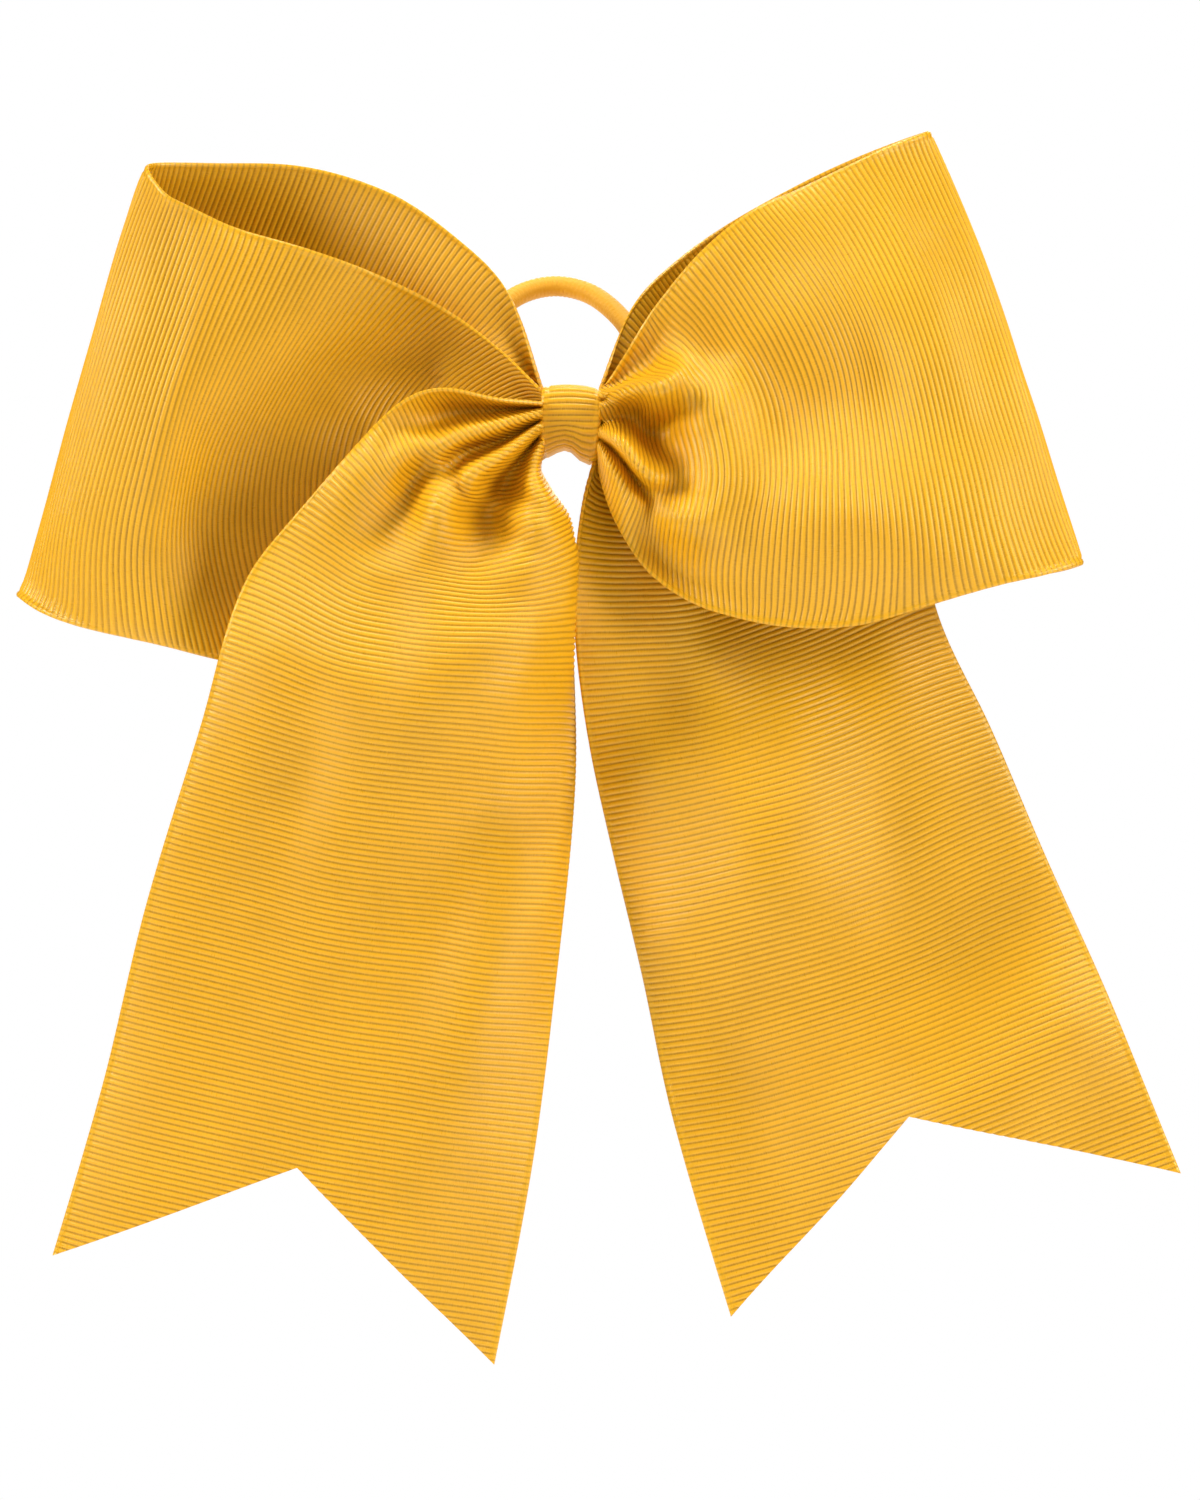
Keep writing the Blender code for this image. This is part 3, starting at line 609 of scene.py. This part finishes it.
def ribbon(name, sections, folds, first_rib, last_rib, mat, swallowtail=None):
    """One stretch of the bow's ribbon from the knot: a loop, or a tail with a swallowtail cut."""
    surface = Surface(sections, first_rib, last_rib, folds)
    low, high = rectangle_of(surface)
    notch = swallowtail[1][1] if swallowtail else None
    bm = flat_ribbon(low, high, RIBBON_WIDTH, notch)
    snip(bm, (surface.drawn.start(0.0), 0), (surface.drawn.start(1.0), RIBBON_WIDTH), 1)
    if swallowtail is None:
        snip(bm, (surface.drawn.end(0.0), 0), (surface.drawn.end(1.0), RIBBON_WIDTH), -1)
    else:
        tip_a, valley, tip_b = swallowtail
        snip(bm, tip_a, valley, -1, high=notch)
        snip(bm, valley, tip_b, -1, low=notch)
    obj = thick_mesh(name, bm, surface.at, surface.normals, RIBBON_WIDTH)
    obj.data.materials.append(mat)
    return obj, surface


# ---- the centre wrap

WRAP_WIDTH = 10.0            # narrow grosgrain
WRAP_FOLD = 5.45             # how far above and below the knot's centre the run's folds lie
# The wrap's run round the knot as (y, z): it starts under its own end on the back, passes
# below the gathers, up the front and over the top, and ends glued down on the back.
WRAP_RUN = [
    (-2.0, 3.9), (-2.0, 0.0), (-2.1, -3.4), (-2.9, -4.9), (-4.6, -5.4), (-8.5, -5.45), (-12.2, -5.4),
    (-14.1, -4.7), (-14.85, -3.0), (-15.0, 0.0), (-14.85, 3.0), (-14.1, 4.7), (-12.2, 5.3), (-8.5, 5.45),
    (-3.2, 5.4), (-1.3, 4.9), (-0.5, 3.4), (-0.42, 0.0), (-0.42, -4.2),
]
# How the wrap's lower and upper folds rise and dip across its width, as (x, height)
WRAP_BOTTOM = [(-5.4, -6.1), (-3.4, -5.2), (-1.6, -4.3), (0.0, -4.5), (1.2, -5.6), (2.4, -6.5),
               (3.4, -6.5), (4.6, -5.6)]
WRAP_TOP = [(-5.2, 4.9), (-3.0, 5.35), (-0.5, 5.5), (2.5, 5.25), (4.6, 4.7)]
# The wrap's left side and the distance from it to the right side, as (at z = 0, change with z)
WRAP_LEFT = (-4.95, 0.055)
WRAP_SPAN = (9.8, 0.03)
WRAP_CROWN = 0.25            # how far back the front's two edges curl
WRAP_FRONT = (-11.0, -14.5)  # the depths between which the curl sets in
WRAP_START = 0.3             # where the strip is cut at its start
WRAP_END = (0.6, 0.1)        # how far before the run's end it is cut, at its left and right edges


class Wrap:
    """The centre wrap's middle surface: the place in space of any flat place (along, across)."""

    def __init__(self):
        self.line = spaced([(0.0, y, z) for y, z in WRAP_RUN], 240)
        hops = np.linalg.norm(np.diff(self.line, axis=0), axis=1)
        self.travel = np.concatenate([[0], np.cumsum(hops)])
        self.length = float(self.travel[-1])

    def at(self, along, across):
        along = np.clip(along, 0, self.length)
        y = smooth(self.travel, self.line[:, 1], along)
        z = smooth(self.travel, self.line[:, 2], along)
        share = across / WRAP_WIDTH
        left = WRAP_LEFT[0] + WRAP_LEFT[1] * z
        x = left + share * (WRAP_SPAN[0] + WRAP_SPAN[1] * z)
        bottom_x, bottom_z = np.array(WRAP_BOTTOM).T
        top_x, top_z = np.array(WRAP_TOP).T
        low = smooth(bottom_x, bottom_z, np.clip(x, bottom_x[0], bottom_x[-1]))
        high = smooth(top_x, top_z, np.clip(x, top_x[0], top_x[-1]))
        z = np.where(z < 0, z * low / -WRAP_FOLD, z * high / WRAP_FOLD)
        y = y + WRAP_CROWN * (2 * share - 1) ** 2 * ramp(*WRAP_FRONT, y)
        return np.stack([x, y, z], axis=1)

    def normals(self, along, across, reach=0.3):
        tangent = self.at(along + reach, across) - self.at(along - reach, across)
        sideways = self.at(along, across + reach) - self.at(along, across - reach)
        normal = np.cross(tangent, sideways)
        return normal / (np.linalg.norm(normal, axis=1)[:, None] + 1e-12)


def centre_wrap(mat):
    """The narrow strip round the knot, and its flat length."""
    wrap = Wrap()
    bm = flat_ribbon(0, wrap.length, WRAP_WIDTH)
    snip(bm, (WRAP_START, 0), (WRAP_START, WRAP_WIDTH), 1)
    snip(bm, (wrap.length - WRAP_END[0], 0), (wrap.length - WRAP_END[1], WRAP_WIDTH), -1)
    obj = thick_mesh("centre_wrap_ribbon", bm, wrap.at, wrap.normals, WRAP_WIDTH)
    obj.data.materials.append(mat)
    return obj, wrap.length


# ---- cords

def tube(name, path, radius, mat, around=24, relief=None):
    """A round cord along a list of points, with a relief that depends on (along, angle).

    Its rings of vertices are turned as little as possible from one to the next.
    """
    path = np.asarray(path, float)
    hops = np.linalg.norm(np.diff(path, axis=0), axis=1)
    along = np.concatenate([[0], np.cumsum(hops)])
    forward = np.gradient(path, axis=0)
    forward /= np.linalg.norm(forward, axis=1)[:, None]
    up = np.cross(forward[0], (0.0, -0.7, 0.7))
    ups = []
    for step in forward:
        up = up - step * np.dot(up, step)
        up = up / np.linalg.norm(up)
        ups.append(up)
    ups = np.array(ups)
    sides = np.cross(forward, ups)
    angle = np.linspace(0, 2 * math.pi, around, endpoint=False)
    a, t = np.meshgrid(along, angle, indexing="ij")
    r = radius + (relief(a, t) if relief else 0 * a)
    outwards = np.cos(t)[..., None] * ups[:, None] + np.sin(t)[..., None] * sides[:, None]
    points = path[:, None] + r[..., None] * outwards
    rows = len(path)
    index = np.arange(rows * around).reshape(rows, around)
    nxt = np.roll(index, -1, axis=1)
    quads = np.stack([index[:-1], nxt[:-1], nxt[1:], index[1:]], axis=2).reshape(-1, 4).tolist()
    faces = quads + [index[0, ::-1].tolist(), index[-1].tolist()]
    mesh = bpy.data.meshes.new(name)
    mesh.from_pydata((points.reshape(-1, 3) * MM).tolist(), [], faces)
    mesh.shade_smooth()
    layer = mesh.uv_layers.new(name="weave")
    girth = 2 * math.pi * radius
    uvs = []
    for i in range(rows - 1):
        for k in range(around):
            u0, u1 = along[i], along[i + 1]
            v0, v1 = girth * k / around, girth * (k + 1) / around
            uvs += [(u0, v0), (u0, v1), (u1, v1), (u1, v0)]
    uvs += [(along[0], 0.0)] * around + [(along[-1], 0.0)] * around
    layer.data.foreach_set("uv", np.array(uvs).ravel())
    obj = bpy.data.objects.new(name, mesh)
    bpy.context.scene.collection.objects.link(obj)
    obj.data.materials.append(mat)
    return obj


ELASTIC_RADIUS = 1.7
YARN_PITCH = 0.85            # of the covering yarns, along the cord
YARN_RELIEF = 0.035
YARN_SPIRALS = 3
ANCHOR_Y = -4.35             # depth at which the elastic crosses the knot
RING_LEAN = math.radians(45)
# The ring in its own plane, which leans back from the anchor, as (across, up the plane)
RING = [(-4.8, 0.0), (-7.4, 0.1), (-11.4, 2.2), (-14.8, 6.4), (-16.5, 10.2), (-16.7, 13.0), (-16.0, 19.5),
        (-13.4, 26.0), (-8.6, 31.8), (-2.7, 33.9), (3.2, 31.8), (8.0, 26.0), (10.6, 19.5), (11.3, 13.0),
        (11.2, 10.4), (10.4, 6.8), (8.6, 2.4), (6.2, 0.1), (4.6, 0.0)]


def elastic_relief(along, angle):
    """The covering yarns of the elastic, laid in two opposed spirals."""
    right = np.cos(2 * math.pi * along / YARN_PITCH + YARN_SPIRALS * angle)
    left = np.cos(2 * math.pi * along / YARN_PITCH - YARN_SPIRALS * angle)
    return YARN_RELIEF * np.maximum(right, left)


def elastic_ring(mat):
    """The covered cord from one side of the wrap, round the ponytail's place, to the other side."""
    back, rise = math.sin(RING_LEAN), math.cos(RING_LEAN)
    path = spaced([(x, ANCHOR_Y + up * back, up * rise) for x, up in RING], 560)
    core = ELASTIC_RADIUS - 0.03
    return tube("elastic_ring", path, core, mat, around=36, relief=elastic_relief)


THREAD_RADIUS = 0.22
THREAD_TURNS = 3
THREAD_POINTS = 150
THREAD_SPREAD = 1.6          # from the first turn to the last
WAIST_DEPTH = -8.3           # centre of the gathers' waist, and its half sizes
WAIST_HALF_DEPTH = 6.0
WAIST_HALF_HEIGHT = 3.9


def gather_thread(mat):
    """Thread pulled tight round the waist of the gathers, whose section is a rounded rectangle."""
    points = []
    for k in range(THREAD_POINTS):
        share = k / (THREAD_POINTS - 1)
        angle = 2 * math.pi * THREAD_TURNS * share
        y = WAIST_DEPTH + WAIST_HALF_DEPTH * math.copysign(abs(math.cos(angle)) ** 0.55, math.cos(angle))
        z = WAIST_HALF_HEIGHT * math.copysign(abs(math.sin(angle)) ** 0.7, math.sin(angle))
        points.append((THREAD_SPREAD * (share - 0.5), y, z))
    return tube("gather_thread_turns", points, THREAD_RADIUS, mat, around=10)


# ---- materials

class Nodes:
    """A material's node tree, with short ways to add and join nodes."""

    def __init__(self, name):
        self.material = bpy.data.materials.new(name)
        self.material.use_nodes = True
        self.tree = self.material.node_tree
        self.shader = self.tree.nodes["Principled BSDF"]

    def add(self, kind, **settings):
        node = self.tree.nodes.new(kind)
        for key, value in settings.items():
            setattr(node, key, value)
        return node

    def join(self, source, target):
        self.tree.links.new(source, target)

    def math(self, operation, a, b=0.0):
        """A math node's result; a and b are numbers or sockets."""
        node = self.add("ShaderNodeMath", operation=operation)
        for socket, value in zip(node.inputs, (a, b)):
            if isinstance(value, (int, float)):
                socket.default_value = value
            else:
                self.join(value, socket)
        return node.outputs[0]

    def mix(self, factor, a, b):
        """Colour a mixed with colour b; a colour mix has them on its sockets 6 and 7."""
        node = self.add("ShaderNodeMix", data_type="RGBA")
        for socket, value in zip((node.inputs[0], node.inputs[6], node.inputs[7]), (factor, a, b)):
            if isinstance(value, (int, float, tuple)):
                socket.default_value = value
            else:
                self.join(value, socket)
        return node.outputs[2]

    def remap(self, value, low, high, to_low, to_high):
        node = self.add("ShaderNodeMapRange")
        self.join(value, node.inputs["Value"])
        for socket, number in zip(list(node.inputs)[1:5], (low, high, to_low, to_high)):
            socket.default_value = number
        return node.outputs[0]

    def noise(self, vector, scale, detail=2.0):
        node = self.add("ShaderNodeTexNoise")
        node.inputs["Scale"].default_value = scale
        node.inputs["Detail"].default_value = detail
        self.join(vector, node.inputs["Vector"])
        return node.outputs[0]

    def bump(self, height, distance, strength):
        node = self.add("ShaderNodeBump")
        node.inputs["Distance"].default_value = distance
        node.inputs["Strength"].default_value = strength
        self.join(height, node.inputs["Height"])
        return node.outputs[0]

    def weave(self):
        """The weave coordinates: millimetres along and across."""
        uv = self.add("ShaderNodeUVMap", uv_map="weave")
        split = self.add("ShaderNodeSeparateXYZ")
        self.join(uv.outputs[0], split.inputs[0])
        return split.outputs[0], split.outputs[1]

    def stretched(self, along, across, along_scale, across_scale):
        """The weave coordinates as a vector, each times its own scale."""
        node = self.add("ShaderNodeCombineXYZ")
        self.join(self.math("MULTIPLY", along, along_scale), node.inputs[0])
        self.join(self.math("MULTIPLY", across, across_scale), node.inputs[1])
        return node.outputs[0]

    def set(self, **values):
        """Constants on the shader's own sockets, with _ for the spaces in their names."""
        for key, value in values.items():
            self.shader.inputs[key.replace("_", " ")].default_value = value


GOLD = (0.80, 0.385, 0.005, 1)
# The darker gold: the colour of random slubs, and the painted shade in the rib valleys
GOLD_DEEP_AND_VALLEY_SHADE = (0.46, 0.22, 0.005, 1)
GOLD_PALE = (0.86, 0.46, 0.016, 1)


def grosgrain(name):
    """Shiny polyester grosgrain: fine warp threads over thick ribs, with painted shade in the rib
    valleys.
    """
    n = Nodes(name)
    along, across = n.weave()
    phase = n.math("COSINE", n.math("MULTIPLY", along, 2 * math.pi / RIB_PITCH))
    # Painted shade: the colour darkens towards the deep gold in each rib's valley, where the ribs shade
    # each other
    valley = n.remap(phase, 0.0, 1.0, 0.0, 0.9)
    warp = n.noise(n.stretched(along, across, 0.9, 5.5), 1.0, 2.0)
    slub = n.noise(n.stretched(along, across, 0.08, 0.08), 1.0, 3.0)
    colour = n.mix(valley, GOLD, GOLD_DEEP_AND_VALLEY_SHADE)
    colour = n.mix(n.remap(warp, 0.4, 0.7, 0.0, 0.35), colour, GOLD_PALE)
    colour = n.mix(n.remap(slub, 0.35, 0.7, 0.0, 0.18), colour, GOLD_DEEP_AND_VALLEY_SHADE)
    n.join(colour, n.shader.inputs["Base Color"])
    n.join(n.remap(warp, 0.3, 0.7, 0.27, 0.4), n.shader.inputs["Roughness"])
    n.set(Specular_IOR_Level=0.65, Specular_Tint=(1, 0.93, 0.62, 1))
    n.join(n.bump(warp, 0.00012, 0.6), n.shader.inputs["Normal"])
    return n.material


def elastic_cover(name):
    """Braided yarn cover of the elastic."""
    n = Nodes(name)
    along, around = n.weave()
    fine = n.noise(n.stretched(along, around, 4.0, 2.0), 1.0, 2.0)
    colour = n.mix(n.remap(fine, 0.35, 0.7, 0.0, 0.5), GOLD, GOLD_PALE)
    n.join(colour, n.shader.inputs["Base Color"])
    n.set(Roughness=0.6, Sheen_Weight=0.5, Sheen_Roughness=0.4, Sheen_Tint=(1, 0.86, 0.6, 1))
    n.join(n.bump(fine, 0.00015, 0.7), n.shader.inputs["Normal"])
    return n.material


def plain(name, colour, other, scale, **values):
    """The finish of the floor or a small hidden part: two close colours mottled together."""
    n = Nodes(name)
    place = n.add("ShaderNodeTexCoord").outputs["Object"]
    mottle = n.noise(place, scale)
    n.join(n.mix(n.remap(mottle, 0.3, 0.7, 0.0, 1.0), colour, other), n.shader.inputs["Base Color"])
    n.join(n.bump(mottle, 0.00005, 0.5), n.shader.inputs["Normal"])
    n.set(**values)
    return n.material


# ---- surroundings

LIGHT_TARGET = Vector((0, -0.01, -0.03))
# In metres and watts: name, place, size, power, and whether it shows in reflections
LIGHTS = [
    ("left softbox", (-1.2, -0.45, 0.45), 0.45, 13.0, True),
    ("right softbox", (1.15, -0.6, 0.4), 0.6, 11.5, True),
    ("top softbox", (0.1, -0.15, 1.25), 0.35, 10.0, True),
    ("front fill", (-0.1, -1.5, 0.35), 1.0, 1.5, False),
    ("upper fill", (-0.1, -0.4, 1.3), 1.0, 4.0, False),
    ("back softbox", (0.2, 1.2, 0.6), 0.9, 9.0, True),
]
WORLD_COLOUR = (1.0, 0.985, 0.96, 1)
WORLD_STRENGTH = 0.42
WORLD_IN_REFLECTIONS = 0.12
FLOOR_RADIUS = 0.9
FLOOR_HEIGHT = -0.32
CAMERA_PLACE = (0.00468, -1.012, -0.0532)
CAMERA_LENS = 148.8


def area_light(name, place, size, power, in_reflections):
    data = bpy.data.lights.new(name, "AREA")
    data.shape = "DISK"
    data.size = size
    data.energy = power
    obj = bpy.data.objects.new(name, data)
    bpy.context.scene.collection.objects.link(obj)
    obj.location = place
    obj.rotation_euler = (LIGHT_TARGET - Vector(place)).to_track_quat("-Z", "Y").to_euler()
    obj.visible_glossy = in_reflections


def surroundings():
    """The white studio: a world that shows white to the camera, the lights and the floor."""
    scene = bpy.context.scene
    scene.view_settings.view_transform = "Standard"
    world = bpy.data.worlds.new("studio")
    world.use_nodes = True
    scene.world = world
    tree = world.node_tree
    rays = tree.nodes.new("ShaderNodeLightPath")
    light = tree.nodes["Background"]
    light.inputs["Color"].default_value = WORLD_COLOUR
    light.inputs["Strength"].default_value = WORLD_STRENGTH
    for ray, strength in (("Is Glossy Ray", WORLD_IN_REFLECTIONS), ("Is Camera Ray", 1.0)):
        seen = tree.nodes.new("ShaderNodeBackground")
        seen.inputs["Strength"].default_value = strength
        seen.inputs["Color"].default_value = (1, 1, 1, 1)
        mix = tree.nodes.new("ShaderNodeMixShader")
        tree.links.new(rays.outputs[ray], mix.inputs[0])
        tree.links.new(light.outputs[0], mix.inputs[1])
        tree.links.new(seen.outputs[0], mix.inputs[2])
        light = mix
    tree.links.new(light.outputs[0], tree.nodes["World Output"].inputs[0])

    for light_settings in LIGHTS:
        area_light(*light_settings)

    bm = bmesh.new()
    bmesh.ops.create_circle(bm, cap_ends=True, radius=FLOOR_RADIUS, segments=96)
    mesh = bpy.data.meshes.new("floor")
    bm.to_mesh(mesh)
    bm.free()
    floor = bpy.data.objects.new("floor", mesh)
    scene.collection.objects.link(floor)
    floor.location.z = FLOOR_HEIGHT
    paper, shade = (0.86, 0.86, 0.85, 1), (0.83, 0.83, 0.82, 1)
    mesh.materials.append(plain("floor_paper", paper, shade, 40.0, Roughness=0.9))


def camera():
    data = bpy.data.cameras.new("photo view")
    data.lens = CAMERA_LENS
    data.sensor_width = 36.0
    obj = bpy.data.objects.new("photo view", data)
    bpy.context.scene.collection.objects.link(obj)
    obj.location = CAMERA_PLACE
    obj.rotation_euler = (math.pi / 2, 0, 0)
    bpy.context.scene.camera = obj


# ---- building the bow

def blend_along(obj):
    """Bakes a piece's placement into its mesh."""
    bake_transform(obj)


camera()
surroundings()
GROSGRAIN = grosgrain("gold_grosgrain")
ELASTIC = elastic_cover("gold_elastic")
THREAD = plain("gold_thread", (0.75, 0.38, 0.03, 1), (0.5, 0.22, 0.02, 1), 2000.0, Roughness=0.7)
GLUE = plain("clear_glue", (0.85, 0.80, 0.66, 1), (0.8, 0.72, 0.55, 1), 400.0, Roughness=0.25)
CRIMP = plain("crimp_steel", (0.62, 0.62, 0.63, 1), (0.5, 0.5, 0.52, 1), 3000.0,
              Roughness=0.35, Metallic=1.0)

for side, sections, folds, first_rib, cut in (
        ("left", LEFT_TAIL, LEFT_TAIL_FOLDS, LEFT_TAIL_RIB, LEFT_CUT),
        ("right", RIGHT_TAIL, RIGHT_TAIL_FOLDS, RIGHT_TAIL_RIB, RIGHT_CUT)):
    last_rib = len(sections) - 1
    obj, surface = ribbon(f"{side}_tail_ribbon", sections, folds, first_rib, last_rib, GROSGRAIN, cut)
    low, _ = rectangle_of(surface)
    area = flat_area(obj)
    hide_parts(f"{side}_tail_gather", f"{side}_tail")
    blend_along(obj)

for side, sections, folds, sign in (("left", LEFT_LOOP, LEFT_LOOP_FOLDS, -1),
                                    ("right", RIGHT_LOOP, RIGHT_LOOP_FOLDS, 1)):
    obj, surface = ribbon(f"{side}_loop_ribbon", sections, folds, *LOOP_RIBS, GROSGRAIN)
    low, high = rectangle_of(surface)
    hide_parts(f"{side}_loop_front", f"{side}_loop_back")
    blend_along(obj)
    flat_area(obj) * MM * MM

wrap, wrap_length = centre_wrap(GROSGRAIN)
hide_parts("centre_wrap", "wrap_end_flap")
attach(wrap, "centre")

ring = elastic_ring(ELASTIC)
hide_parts("elastic_left_strand", "elastic_right_strand", "elastic_bight")
blend_along(ring)

thread = gather_thread(THREAD)
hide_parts("gather_thread")
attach(thread, "centre")

for node, mat in (("front_gather", GROSGRAIN), ("middle_gather", GROSGRAIN), ("back_gather", GROSGRAIN),
                  ("elastic_anchor", ELASTIC), ("wrap_glue", GLUE), ("elastic_crimp", CRIMP)):
    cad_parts[node].data.materials.clear()
    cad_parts[node].data.materials.append(mat)
